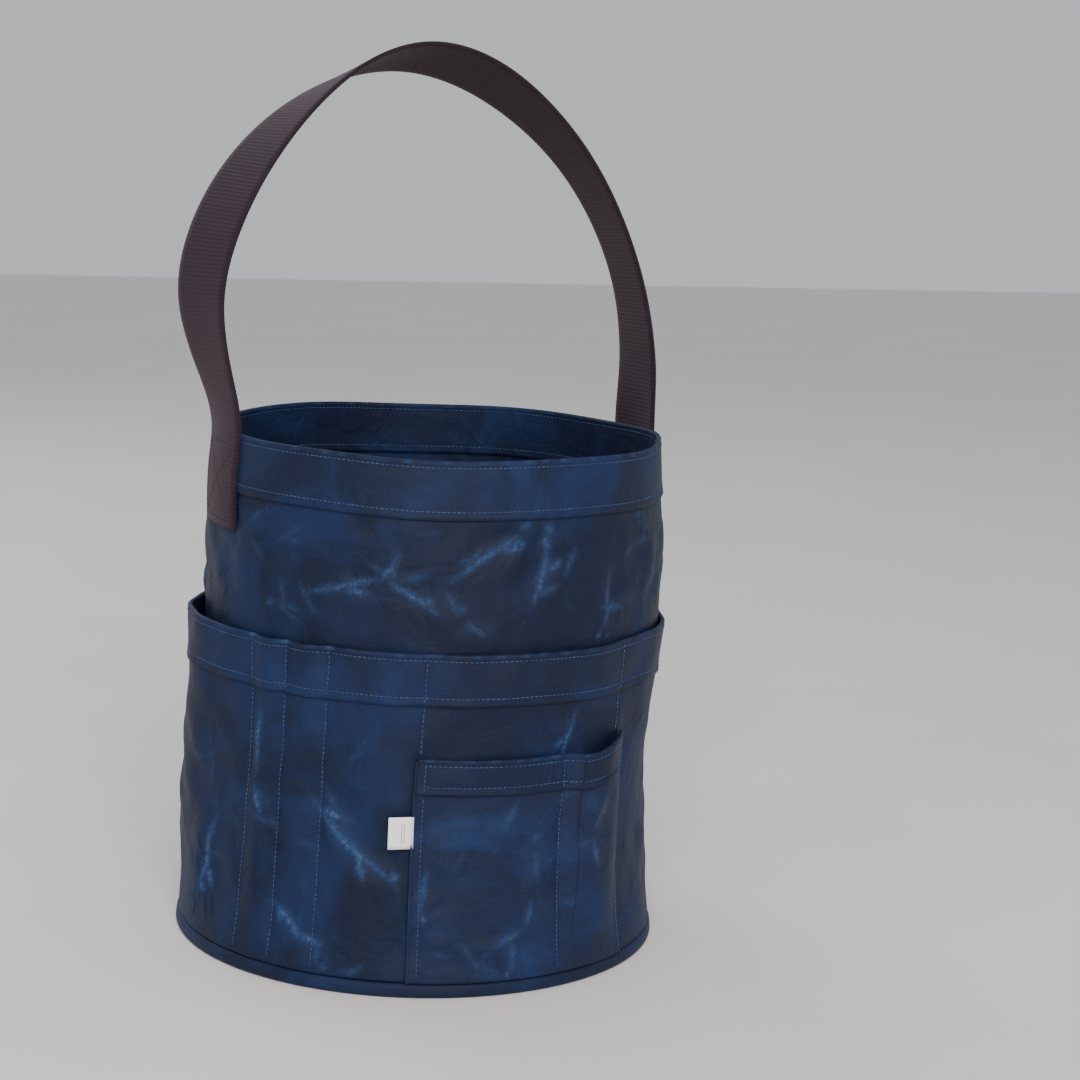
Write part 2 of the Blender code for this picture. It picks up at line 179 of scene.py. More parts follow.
def ripple(azimuth, height, seed, length, depth):
    """Soft uneven waves in the cloth, about length metres from crest to crest."""
    rng = np.random.default_rng(seed)
    angle = np.radians(azimuth)
    total = np.zeros(np.broadcast(azimuth, height).shape)
    around = 2 * pi * MEAN_RADIUS / length
    for _ in range(RIPPLE_WAVES):
        turns = round(around * rng.uniform(0.25, 1.2)) or 1
        rows = rng.uniform(-1.1, 1.1) * 2 * pi / length
        total = total + np.sin(turns * angle + rows * height + rng.uniform(0, 2 * pi))
    return depth * total / 3


def wall_radius(azimuth, height):
    """Outer radius of the wall cloth."""
    body = natural_spline(WALL_HEIGHTS, WALL_RADII, np.clip(height, WALL_HEIGHTS[0], WALL_HEIGHTS[-1]))
    calm = smooth(height, 0.012, 0.05) * (1 - 0.35 * smooth(height, 0.262, 0.285))
    broad = ripple(azimuth, height, 3, 0.100, 0.75 * MM)
    tight = ripple(azimuth, height, 13, 0.036, 0.42 * MM) * (1 - smooth(height, 0.255, 0.268))
    return body + calm * (broad + tight)


def rim_top(azimuth):
    dip = 2.2 * MM * bell((azimuth + 15 + 180) % 360 - 180, 45)
    return HEIGHT + 0.5 * MM - dip + ripple(azimuth, 0.0, 41, 0.16, 0.6 * MM)


def pocket_top(azimuth):
    return POCKET_TOP + ripple(azimuth, 0.0, 43, 0.10, 0.55 * MM)


def lean(height):
    """Shift of each ring: the loaded lower half sits back, the rim sits forward."""
    return LEAN_LOW + (LEAN_HIGH - LEAN_LOW) * smooth(height, 0.08, 0.22)


def on_bag(azimuth, radius, height):
    """Points at an azimuth, a radius and a height, on rings that lean a little."""
    azimuth, radius, height = np.broadcast_arrays(azimuth, radius, height)
    angle = np.radians(azimuth)
    points = np.stack([radius * np.sin(angle), -radius * np.cos(angle), height], axis=-1)
    return points + lean(height)[..., None] * LEAN


def pocket_fullness(azimuth, height):
    around = (azimuth - SEAMS[0]) % 360 + SEAMS[0]
    total = np.zeros(np.broadcast(azimuth, height).shape)
    rise = np.sin(pi / 2 * np.clip((height - POCKET_FLOOR) / 0.075, 0, 1))
    mouth = 1 + 0.25 * smooth(height, 0.14, POCKET_TOP)
    for start, end, depth in POCKETS:
        share = np.clip((around - start) / (end - start), 0, 1)
        hump = np.sin(pi * share) ** 1.4
        total = total + depth * hump * rise * mouth
    return total


def seam_dip(azimuth, seams, width=0.9):
    """How far the cloth is drawn in at its upright seams, 0 to 1."""
    total = np.zeros(np.shape(azimuth))
    for seam in seams:
        total = total + bell((azimuth - seam + 180) % 360 - 180, width)
    return total


def pocket_inner(azimuth, height):
    """Inner radius of the pocket ring's cloth."""
    calm = smooth(height, 0.012, 0.05) * (1 - 0.6 * smooth(height, 0.158, 0.172))
    wave = np.abs(ripple(azimuth, height, 11, 0.07, 0.55 * MM)) * calm
    flare = 1.3 * MM * (1 - smooth(height, POCKET_FLOOR, 0.036))
    stand = CLOTH + 2 * SLACK
    return wall_radius(azimuth, height) + stand + pocket_fullness(azimuth, height) + wave + flare


def pocket_outer(azimuth, height):
    return pocket_inner(azimuth, height) + CLOTH - SEAM_DEPTH * seam_dip(azimuth, SEAMS)


def patch_inner(azimuth, height):
    """Inner radius of the patch pocket: flat, then a fold, then the bellows that stands out."""
    rise = np.sin(pi / 2 * np.clip((height - POCKET_FLOOR) / 0.085, 0, 1))
    flat = 1.5 * MM * np.sin(pi * np.clip((azimuth - PATCH_HEM) / (PATCH_SEAM - PATCH_HEM), 0, 1)) ** 1.2
    lip = 4.6 * MM * smooth(azimuth, PATCH_SEAM + 0.4, PATCH_SEAM + 3.4)
    lip *= 1 - smooth(azimuth, PATCH_FOLD - 0.5, PATCH_FOLD)
    share = np.clip((azimuth - PATCH_FOLD - 0.8) / (PATCH_RIGHT - 1.4 - PATCH_FOLD), 0, 1)
    bellows = 6.2 * MM * np.sin(pi * share ** 0.85) ** 0.9
    wave = np.abs(ripple(azimuth, height, 23, 0.05, 0.35 * MM))
    return pocket_outer(azimuth, height) + CLOTH + 2 * SLACK + rise * (flat + lip + bellows + wave)


def patch_outer(azimuth, height):
    return patch_inner(azimuth, height) + CLOTH - SEAM_DEPTH * seam_dip(azimuth, PATCH_SEAMS)


def patch_top(azimuth):
    """Height of the patch pocket's top edge, which drops at the fold and climbs along the bellows."""
    drop = 0.0022 * smooth(azimuth, PATCH_FOLD - 0.8, PATCH_FOLD + 0.8)
    return PATCH_TOP - drop + 0.0075 * smooth(azimuth, PATCH_FOLD, PATCH_RIGHT)


# --- creases ---

# How creases grow: steps and branches in millimetres, turns in radians
CREASE_RADIUS = 0.137
MM_PER_DEGREE = 2.39
CREASE_STEP = (9, 14)
CREASE_WANDER = 0.15
BRANCH_CHANCE = 0.45
BRANCH_TURN = (0.35, 0.9)
BRANCH_REACH = (6, 24)
SMALL_LENGTH = (6, 26)
SMALL_STRENGTH = (0.15, 0.60)

def branching_crease(rng, azimuth, height, heading, length):
    """One jagged crease with side branches; each branch is a list of (azimuth, millimetres up) points."""
    direction = radians(heading)
    line = [(azimuth, height)]
    branches = []
    step = rng.uniform(*CREASE_STEP)
    for _ in range(max(2, round(length / step))):
        direction += rng.uniform(-CREASE_WANDER, CREASE_WANDER)
        azimuth += step * cos(direction) / MM_PER_DEGREE
        height += step * sin(direction)
        line.append((azimuth, height))
        if rng.uniform() < BRANCH_CHANCE:
            turn = direction + rng.choice((-1, 1)) * rng.uniform(*BRANCH_TURN)
            reach = rng.uniform(*BRANCH_REACH)
            tip = (azimuth + reach * cos(turn) / MM_PER_DEGREE, height + reach * sin(turn))
            branches.append(((azimuth, height), tip))
    return [tuple(line)] + branches


def creases(seed, main, strongest, count, azimuths, heights):
    """Main creases, then short ones scattered the same way each time."""
    rng = np.random.default_rng(seed)
    lines = []
    for azimuth, height, heading, length in main:
        lines += [(strongest, line) for line in branching_crease(rng, azimuth, height, heading, length)]
    for _ in range(count):
        place = rng.uniform(*azimuths), rng.uniform(*heights)
        found = branching_crease(rng, *place, rng.uniform(0, 360), rng.uniform(*SMALL_LENGTH))
        strength = rng.uniform(*SMALL_STRENGTH)
        lines += [(strength, line) for line in found]
    low, high = heights
    return [(strength, tuple((a, min(max(z, low), high)) for a, z in line)) for strength, line in lines]


def crease_field(azimuth, height, lines):
    """Chalky mark (0 to 1) and bump (metres) that the creases leave at each point."""
    across = np.radians(azimuth) * CREASE_RADIUS / MM
    up = height / MM
    mark, bump = np.zeros((2, *azimuth.shape))
    for strength, line in lines:
        points = np.array([(radians(a) * CREASE_RADIUS / MM, z) for a, z in line])
        run = running_length(points)
        length = np.diff(run)
        near = np.full(azimuth.shape, 1e9)
        side, along = np.zeros((2, *azimuth.shape))
        for (x0, z0), (x1, z1), start, long in zip(points[:-1], points[1:], run, length):
            share = np.clip(((across - x0) * (x1 - x0) + (up - z0) * (z1 - z0)) / max(long, 0.1) ** 2, 0, 1)
            dx = across - x0 - share * (x1 - x0)
            dz = up - z0 - share * (z1 - z0)
            distance = np.hypot(dx, dz)
            closer = distance < near
            near = np.where(closer, distance, near)
            side = np.where(closer, np.sign(dx * (z1 - z0) - dz * (x1 - x0)), side)
            along = np.where(closer, (start + share * long) / max(run[-1], 0.1), along)
        taper = np.sin(pi * np.clip(0.06 + 0.88 * along, 0, 1)) ** 0.8
        weight = strength * taper
        core = 0.36 * bell(near, 1.4 + 0.4 * taper)
        halo = 0.30 * bell(near, 3.6)
        glow = 0.20 * bell(near, 14.0)
        mark = np.maximum(mark, weight * (core + halo + glow))
        ridge = 0.22 * bell(near, 3.4)
        facet = 1.9 * side * near / 8 * bell(near, 12.0)
        bump = bump + MM * weight * (ridge + facet)
    return mark, bump


# --- mesh builders ---

STITCH_LENGTH = 2.15 * MM
STITCH_WIDTH = 0.62 * MM
STITCH_END_SINK = 0.16 * MM
FRONT_FROM, FRONT_TO = -122, 78

def new_object(name, data):
    item = bpy.data.objects.new(name, data)
    bpy.context.scene.collection.objects.link(item)
    return item


def new_piece(name, points, faces, body=BAG, marks=None, coords=None):
    """Mesh object with its wear marks and cloth coordinates, riding on a body unless that is None."""
    mesh = bpy.data.meshes.new(name)
    mesh.from_pydata(points.tolist(), [], faces)
    mesh.shade_smooth()
    layers = (("mark", marks, "FLOAT", "value"), ("cloth", coords, "FLOAT_VECTOR", "vector"))
    for label, values, kind, field in layers:
        if values is not None:
            layer = mesh.attributes.new(label, kind, "POINT")
            layer.data.foreach_set(field, np.asarray(values, np.float32).ravel())
    piece = new_object(name, mesh)
    if body:
        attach(piece, body)
    return piece


def thick_sheet(name, middle, thickness, closed, marks=None, body=BAG, coords=None):
    """Sheet of cloth about the middle surface, an array of rows by columns of points."""
    rows, columns = middle.shape[:2]
    if closed:
        across = np.roll(middle, -1, axis=1) - np.roll(middle, 1, axis=1)
    else:
        across = np.gradient(middle, axis=1)
    normal = np.cross(across, np.gradient(middle, axis=0))
    normal /= np.linalg.norm(normal, axis=2, keepdims=True)
    half = normal * thickness / 2
    points = np.concatenate([middle + half, middle - half]).reshape(-1, 3)
    grid = np.arange(rows * columns).reshape(rows, columns)
    right = np.roll(grid, -1, axis=1) if closed else grid[:, 1:]
    left = grid if closed else grid[:, :-1]
    inner = rows * columns
    faces = np.stack([left[:-1], right[:-1], right[1:], left[1:]], axis=-1).reshape(-1, 4)
    back = faces[:, ::-1] + inner
    borders = [(left[0], right[0], True), (left[-1], right[-1], False)]
    if not closed:
        borders += [(grid[:-1, 0], grid[1:, 0], False), (grid[:-1, -1], grid[1:, -1], True)]
    rims = []
    for a, b, flip in borders:
        quad = np.stack([a, b, b + inner, a + inner], axis=-1)
        rims.append(quad[:, ::-1] if flip else quad)
    faces = np.concatenate([faces, back] + rims).tolist()
    both = None if marks is None else np.concatenate([marks, 0.5 * marks]).ravel()
    return new_piece(name, points, faces, body, both, coords)


def turned_solid(name, profile, steps=160, hub=1e-5):
    """Closed solid turned from (radius, height) points that start and end on the axis, or hub from it."""
    count = len(profile)
    azimuths = np.linspace(0, 360, steps, endpoint=False)
    rings = [on_bag(azimuths, max(radius, hub), height) for radius, height in profile]
    points = np.concatenate(rings)
    faces = []
    for k in range(count - 1):
        for i in range(steps):
            j = (i + 1) % steps
            faces.append((k * steps + i, k * steps + j, (k + 1) * steps + j, (k + 1) * steps + i))
    faces.append(tuple(range(steps))[::-1])
    faces.append(tuple(range((count - 1) * steps, count * steps)))
    return new_piece(name, points, faces)


def stitches(name, centres, along, normals):
    """One small lens-ended thread for each stitch; its rings are (share of length, share of width)."""
    rings = ((-0.5, 0.25), (-0.36, 0.85), (0.0, 1.0), (0.36, 0.85), (0.5, 0.25))
    sides = 6
    along = along / np.linalg.norm(along, axis=1, keepdims=True)
    across = np.cross(normals, along)
    across /= np.linalg.norm(across, axis=1, keepdims=True)
    up = np.cross(along, across)
    points = []
    for reach, size in rings:
        for k in range(sides):
            turn = 2 * pi * k / sides
            sunk = STITCH_END_SINK * (1 - size)
            offset = size * STITCH_WIDTH / 2 * (cos(turn) * across + sin(turn) * up) - sunk * up
            points.append(centres + reach * STITCH_LENGTH * along + offset)
    points = np.stack(points, axis=1).reshape(-1, 3)
    each = len(rings) * sides
    base = []
    for k in range(len(rings) - 1):
        for i in range(sides):
            j = (i + 1) % sides
            base.append((k * sides + i, k * sides + j, (k + 1) * sides + j, (k + 1) * sides + i))
    caps = [tuple(range(sides))[::-1], tuple(range(each - sides, each))]
    faces = [tuple(v + n * each for v in face) for n in range(len(centres)) for face in base + caps]
    return new_piece(name, points, faces)


def stitch_row(name, route, closed=False, pitch=2.8 * MM, lift=0.22 * MM):
    """Centre, direction and outward normal of each stitch along a route of (point, normal) samples."""
    points, normals = (np.concatenate([v, v[:1]]) for v in route) if closed else route
    run = running_length(points)
    count = max(2, round(run[-1] / pitch))
    at = (np.arange(count) + 0.5) * run[-1] / count
    rng = np.random.default_rng(len(name))
    at = at + rng.uniform(-0.12, 0.12, count) * MM

    def sample(values, where):
        return np.stack([np.interp(where, run, values[:, k]) for k in range(3)], axis=1)

    reach = 0.4 * MM
    along = sample(points, at + reach) - sample(points, at - reach)
    facing = sample(normals, at)
    facing /= np.linalg.norm(facing, axis=1, keepdims=True)
    return sample(points, at) + lift * facing, along, facing


def face_route(azimuths, heights, outer, proud=0.0):
    """Points and outward normals along a line on a face of the bag."""
    points = on_bag(azimuths, outer(azimuths, heights) + proud, heights)
    angle = np.radians(azimuths)
    normals = np.stack([np.sin(angle), -np.cos(angle), 0 * angle], axis=1)
    return points, normals


def columns_around(fine_step, coarse_step):
    """Azimuths round the bag, closer together on the front and left."""
    front = np.arange(FRONT_FROM, FRONT_TO, fine_step)
    return np.concatenate([front, np.arange(FRONT_TO, FRONT_FROM + 360, coarse_step)])


def heights_between(low, high, step, coarse_below=0.0, coarse_step=0.006):
    """Heights from low to high by about step, or by coarse_step up to coarse_below."""
    start = max(low, coarse_below)
    fine = np.linspace(start, high, round((high - start) / step) + 1)
    return np.concatenate([np.arange(low, start, coarse_step), fine])


def row_dimple(height, rows):
    """Shallow groove that each stitch row pulls in a band."""
    return ROW_DIMPLE * sum(bell(height - row, 1.3 * MM) for row in rows)


def folded_band(name, azimuths, inner, outer, top, depth, rows, closed, seams=()):
    """Band folded over a top edge: up the outside, over in a round fold, and down the inside."""
    azimuth = azimuths[None, :]
    edge = top(azimuth)
    levels = np.concatenate([np.linspace(1, 0.1, 14), [0.06, 0.03]])
    fold_rows = 5
    lines = []
    gap = SLACK + CLOTH / 2
    proud = 0.5 * MM
    for level in levels:
        height = edge - CLOTH - depth * level
        flare = proud * smooth(level, 0.8, 1.0)
        radius = outer(azimuth, height) + gap + flare - row_dimple(edge - height, rows)
        lines.append(on_bag(azimuth, radius, height)[0])
    crown = edge - CLOTH
    out_r = outer(azimuth, crown) + gap
    in_r = inner(azimuth, crown) - gap
    for turn in np.linspace(0.12, 0.88, fold_rows) * pi:
        radius = (out_r + in_r) / 2 + (out_r - in_r) / 2 * cos(turn)
        lines.append(on_bag(azimuth, radius, crown + CLOTH * 0.6 * sin(turn))[0])
    for level in levels[::-1]:
        height = edge - CLOTH - depth * level
        radius = inner(azimuth, height) - gap + row_dimple(edge - height, rows)
        lines.append(on_bag(azimuth, radius, height)[0])
    middle = np.stack(lines)
    worn = np.zeros(middle.shape[:2])
    fold = slice(len(levels) - 1, len(levels) + fold_rows + 1)
    uneven = ripple(azimuths, 0.0, 5, 0.012, 1.0)
    worn[fold] = np.clip(0.22 + 0.25 * uneven, 0.05, 0.5) + 0.40 * seam_dip(azimuths, seams, 1.2)
    worn[0] = np.clip(0.10 + 0.15 * uneven, 0.0, 0.4)
    return thick_sheet(name, middle, CLOTH, closed, worn)


# --- materials ---

CLOTH_RADIUS = 0.136
WEAVE_PITCH = 1.1 * MM
TAPE_PITCH = 0.45 * MM
YARN_PITCH = 1.0 * MM

def node(tree, kind, **values):
    """New shader node with its properties, or else the inputs of those names, set."""
    item = tree.nodes.new(kind)
    for key, value in values.items():
        if hasattr(item, key):
            setattr(item, key, value)
        else:
            item.inputs[key].default_value = value
    return item


def link(tree, source, target):
    tree.links.new(source, target)


def new_material(name):
    material = bpy.data.materials.new(name)
    material.use_nodes = True
    return material, material.node_tree, material.node_tree.nodes["Principled BSDF"]


def math_node(tree, operation, first, second=0.0):
    item = node(tree, "ShaderNodeMath", operation=operation)
    for socket, value in zip(item.inputs, (first, second)):
        if isinstance(value, (int, float)):
            socket.default_value = value
        else:
            link(tree, value, socket)
    return item.outputs[0]


def times(tree, first, second):
    return math_node(tree, "MULTIPLY", first, second)


def plus(tree, first, second):
    return math_node(tree, "ADD", first, second)


def bumped(tree, target, height, strength, distance):
    """Bump node that feeds the target's normal."""
    bump = node(tree, "ShaderNodeBump", Strength=strength, Distance=distance)
    link(tree, height, bump.inputs["Height"])
    link(tree, bump.outputs[0], target.inputs["Normal"])
    return bump


def mix_colour(tree, factor, first, second):
    item = node(tree, "ShaderNodeMix", data_type="RGBA")
    for socket, value in ((item.inputs[0], factor), (item.inputs[6], first), (item.inputs[7], second)):
        if isinstance(value, (int, float, tuple)):
            socket.default_value = value
        else:
            link(tree, value, socket)
    return item.outputs[2]


def noise(tree, vector, scale, detail=3.0, roughness=0.55, distortion=0.0):
    item = node(tree, "ShaderNodeTexNoise", Scale=scale, Detail=detail, Roughness=roughness,
                Distortion=distortion)
    link(tree, vector, item.inputs["Vector"])
    return item.outputs["Fac"]


def ramp(tree, source, low, high):
    """0 up to low and 1 from high on, with an even S between them."""
    ends = {"From Min": low, "From Max": high}
    item = node(tree, "ShaderNodeMapRange", interpolation_type="SMOOTHSTEP", **ends)
    link(tree, source, item.inputs["Value"])
    return item.outputs["Result"]


def object_place(tree):
    return node(tree, "ShaderNodeTexCoord").outputs["Object"]


def parts(tree, vector):
    """The three numbers that a vector is made of."""
    item = node(tree, "ShaderNodeSeparateXYZ")
    link(tree, vector, item.inputs[0])
    return item.outputs


def bag_coordinates(tree):
    """Object position, and the cloth's own run around the bag and up it, in metres."""
    place = object_place(tree)
    x, y, up = parts(tree, place)
    angle = math_node(tree, "ARCTAN2", x, times(tree, y, -1.0))
    return place, times(tree, angle, CLOTH_RADIUS), up


def cloth_coordinates(tree):
    """The place that a strip's mesh stores for its cloth, and the run along it and across it, in metres."""
    cloth = node(tree, "ShaderNodeAttribute", attribute_name="cloth").outputs["Vector"]
    along, across, _ = parts(tree, cloth)
    return cloth, along, across


def soft_sheen(shader, specular, weight, rough, tint):
    """Low specular level and the sheen of loose fibres."""
    shader.inputs["Specular IOR Level"].default_value = specular
    shader.inputs["Sheen Weight"].default_value = weight
    shader.inputs["Sheen Roughness"].default_value = rough
    shader.inputs["Sheen Tint"].default_value = tint


def waves(tree, source, pitch):
    """Sine of source, one wave every pitch metres."""
    return math_node(tree, "SINE", times(tree, source, 2 * pi / pitch))


def weave(tree, along, up, pitch):
    """Plain weave: threads one way crossed by threads the other, as a height from -1 to 1."""
    return times(tree, waves(tree, along, pitch), waves(tree, up, pitch))


def canvas_material(name, tone_and_painted_light=1.0, bright_marks=1.0):
    """Waxed canvas: blotchy navy, pale chalky creases where the wax has cracked, and a dull shine. Its
    colours are all scaled by one number, which makes the band copy brighter, paints light onto the patch copy
    and paints shade into the inside copy.
    """
    material, tree, shader = new_material(name)
    place, around, up = bag_coordinates(tree)
    # Scaling these colours brightens the patch copy as painted light and darkens the inside copy as painted
    # shade.
    deep = (0.0058 * tone_and_painted_light, 0.0090 * tone_and_painted_light, 0.0235 * tone_and_painted_light, 1)
    blue = (0.0095 * tone_and_painted_light, 0.0225 * tone_and_painted_light, 0.0740 * tone_and_painted_light, 1)
    brown = (0.0088 * tone_and_painted_light, 0.0088 * tone_and_painted_light, 0.0170 * tone_and_painted_light, 1)
    blotch = ramp(tree, noise(tree, place, 15.0, 4.0, 0.6, 0.8), 0.40, 0.68)
    colour = mix_colour(tree, blotch, deep, blue)
    dull = ramp(tree, noise(tree, place, 9.0, 3.0, 0.6, 0.3), 0.50, 0.72)
    colour = mix_colour(tree, times(tree, dull, 0.75), colour, brown)
    grain = noise(tree, place, 900.0, 2.0, 0.7)
    colour = mix_colour(tree, 0.35, colour, mix_colour(tree, ramp(tree, grain, 0.3, 0.75), deep, blue))

    fine = noise(tree, place, 420.0, 4.0, 0.7, 0.4)
    attribute = node(tree, "ShaderNodeAttribute", attribute_name="mark").outputs["Fac"]
    broken = ramp(tree, fine, 0.34, 0.66)
    patchy = plus(tree, times(tree, broken, 0.45), 0.55)
    chalk = times(tree, attribute, patchy)

    stretched = node(tree, "ShaderNodeMapping", Scale=(1.0, 1.0, 0.35))
    link(tree, place, stretched.inputs["Vector"])
    veins = noise(tree, stretched.outputs[0], 30.0, 5.0, 0.62, 1.2)
    ridge = math_node(tree, "ABSOLUTE", math_node(tree, "SUBTRACT", veins, 0.5))
    thin = math_node(tree, "SUBTRACT", 1.0, ramp(tree, ridge, 0.0, 0.010))
    where = ramp(tree, noise(tree, place, 22.0, 2.0, 0.5), 0.52, 0.70)
    scuff = times(tree, times(tree, thin, where), 0.35)
    rub = times(tree, ramp(tree, noise(tree, place, 40.0, 5.0, 0.7, 0.5), 0.60, 0.80), 0.35)
    rub = times(tree, rub, broken)
    pale = math_node(tree, "MAXIMUM", chalk, math_node(tree, "MAXIMUM", scuff, rub))
    pale = math_node(tree, "MINIMUM", times(tree, pale, bright_marks), 1.0)

    cracked = (0.032, 0.066, 0.165, 1)
    dusty = (0.125, 0.185, 0.320, 1)
    colour = mix_colour(tree, ramp(tree, pale, 0.03, 0.85), colour, cracked)
    colour = mix_colour(tree, ramp(tree, pale, 0.45, 1.15), colour, dusty)
    link(tree, colour, shader.inputs["Base Color"])

    rough = plus(tree, times(tree, blotch, 0.10), 0.50)
    rough = plus(tree, rough, times(tree, pale, 0.25))
    link(tree, rough, shader.inputs["Roughness"])
    soft_sheen(shader, 0.15, 0.008, 0.45, (0.35, 0.45, 0.75, 1))

    cloth = weave(tree, around, up, WEAVE_PITCH)
    rumpled = plus(tree, noise(tree, place, 48.0, 5.0, 0.55, 0.9), times(tree, pale, 0.35))
    crumple = bumped(tree, shader, rumpled, 0.75, 2.2 * MM)
    bumped(tree, crumple, cloth, 0.5, 0.12 * MM)
    return material


def thread_material(name, dark, light):
    """Sewing thread, mottled between two tones."""
    material, tree, shader = new_material(name)
    place = object_place(tree)
    tone = ramp(tree, noise(tree, place, 140.0, 3.0, 0.6), 0.35, 0.68)
    link(tree, mix_colour(tree, tone, dark, light), shader.inputs["Base Color"])
    shader.inputs["Roughness"].default_value = 0.55
    bumped(tree, shader, noise(tree, place, 3000.0, 1.0), 0.5, 0.1 * MM)
    return material


def webbing_material(name):
    """Ribbed cotton webbing: ribs across the strip, fine yarns along it, dusty where it is rubbed."""
    material, tree, shader = new_material(name)
    place = object_place(tree)
    cloth, along, across = cloth_coordinates(tree)
    ribs = waves(tree, along, RIB)
    yarns = waves(tree, across, YARN_PITCH)
    height = plus(tree, ribs, times(tree, yarns, 0.35))
    height = plus(tree, height, noise(tree, cloth, 1600.0, 2.0, 0.7))
    # Rib colour darker in the troughs and lighter on the crests: painted shade.
    shaded = ramp(tree, ribs, -1.0, 1.0)
    colour = mix_colour(tree, shaded, (0.0125, 0.0062, 0.0120, 1), (0.0175, 0.0088, 0.0165, 1))
    worn = ramp(tree, noise(tree, place, 28.0, 4.0, 0.6), 0.45, 0.75)
    colour = mix_colour(tree, times(tree, worn, 0.4), colour, (0.027, 0.015, 0.025, 1))
    lint = ramp(tree, noise(tree, cloth, 700.0, 2.0, 0.8), 0.62, 0.78)
    colour = mix_colour(tree, times(tree, lint, 0.25), colour, (0.06, 0.042, 0.058, 1))
    link(tree, colour, shader.inputs["Base Color"])
    shader.inputs["Roughness"].default_value = 0.85
    soft_sheen(shader, 0.2, 0.12, 0.5, (0.75, 0.55, 0.65, 1))
    bumped(tree, shader, height, 0.4, 0.15 * MM)
    return material


def label_material(name):
    """White woven tape with two grey woven lines along its folded edge."""
    material, tree, shader = new_material(name)
    cloth, along, up = cloth_coordinates(tree)
    fabric = weave(tree, along, up, TAPE_PITCH)
    # Colour paler on the weave's crests and greyer between the threads, which is painted shade, with random
    # tone from the noise on top.
    tone = ramp(tree, plus(tree, fabric, noise(tree, cloth, 900.0, 2.0)), -0.6, 1.6)
    colour = mix_colour(tree, tone, (0.88, 0.88, 0.87, 1), (0.97, 0.97, 0.96, 1))
    half_line, half_length = 0.22 * MM, 5.5 * MM
    for centre in (5.2 * MM, 6.6 * MM):
        distance = math_node(tree, "ABSOLUTE", math_node(tree, "SUBTRACT", along, centre))
        line = math_node(tree, "LESS_THAN", distance, half_line)
        inside = math_node(tree, "LESS_THAN", math_node(tree, "ABSOLUTE", up), half_length)
        share = times(tree, times(tree, line, inside), 0.8)
        colour = mix_colour(tree, share, colour, (0.12, 0.12, 0.14, 1))
    link(tree, colour, shader.inputs["Base Color"])
    shader.inputs["Roughness"].default_value = 0.8
    bumped(tree, shader, fabric, 0.4, 0.08 * MM)
    return material


def board_material(name):
    """Grey fibreboard."""
    material, tree, shader = new_material(name)
    place = object_place(tree)
    fibre = noise(tree, place, 220.0, 5.0, 0.7)
    colour = mix_colour(tree, ramp(tree, fibre, 0.3, 0.7), (0.15, 0.14, 0.13, 1), (0.24, 0.23, 0.21, 1))
    link(tree, colour, shader.inputs["Base Color"])
    shader.inputs["Roughness"].default_value = 0.75
    bumped(tree, shader, fibre, 0.3, 0.2 * MM)
    return material


CANVAS = canvas_material("canvas_panel")
BAND = canvas_material("canvas_band", tone_and_painted_light=1.12, bright_marks=0.8)
# Patch canvas painted brighter than the wall: a painted highlight for the light it catches standing proud and
# facing forward.
LIT_PATCH_CANVAS = canvas_material("canvas_patch_painted_light", tone_and_painted_light=1.35, bright_marks=0.9)
# Inside canvas painted darker: painted shade on the floor lining inside the bag.
SHADED_INSIDE_CANVAS = canvas_material("canvas_inside_painted_shade", tone_and_painted_light=0.80, bright_marks=0.7)
WEBBING = webbing_material("webbing")
BLUE_THREAD = thread_material("blue_thread", (0.014, 0.034, 0.092, 1), (0.036, 0.074, 0.178, 1))
DARK_THREAD = thread_material("dark_thread", (0.014, 0.008, 0.013, 1), (0.030, 0.017, 0.025, 1))
LABEL = label_material("woven_label")
BOARD = board_material("base_board")


def finish(piece, material, slot, *nodes):
    """Gives a piece its material and hides the CAD nodes that it stands for. The slot argument is not used.
    """
    piece.data.materials.append(material)
    if nodes:
        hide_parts(*nodes)
    return piece


# --- pieces ---

AROUND = columns_around(0.8, 1.0)
CREASED = columns_around(0.42, 0.8)
SEAM_LOW = 0.012
RIM_ROWS = (FIRST_ROW_DROP, HEIGHT - RIM_LOW - 4.6 * MM)
POCKET_ROWS = (FIRST_ROW_DROP, POCKET_TOP - POCKET_LOW - 4.6 * MM)
PATCH_ROWS = (FIRST_ROW_DROP, PATCH_BAND - 4.4 * MM)


def sewn_rows(name, rows, *nodes, material=BLUE_THREAD, slot="blue_thread"):
    """One piece made of rows of stitches."""
    joined = [np.concatenate(parts) for parts in zip(*rows)]
    finish(stitches(name, *joined), material, slot, *nodes)


def upright_seam(name, azimuth, low, band, top, outer, cad):
    """Seam up a pocket: on the cloth below its band, then on the band."""
    rows = []
    for start, stop, proud in ((low, band - 0.0005, 0.0), (band + 0.0012, top - 0.001, BAND_FACE)):
        levels = np.arange(start, stop, 2 * MM)
        rows.append(stitch_row(name, face_route(np.full(levels.shape, azimuth), levels, outer, proud)))
    sewn_rows(name, rows, cad)


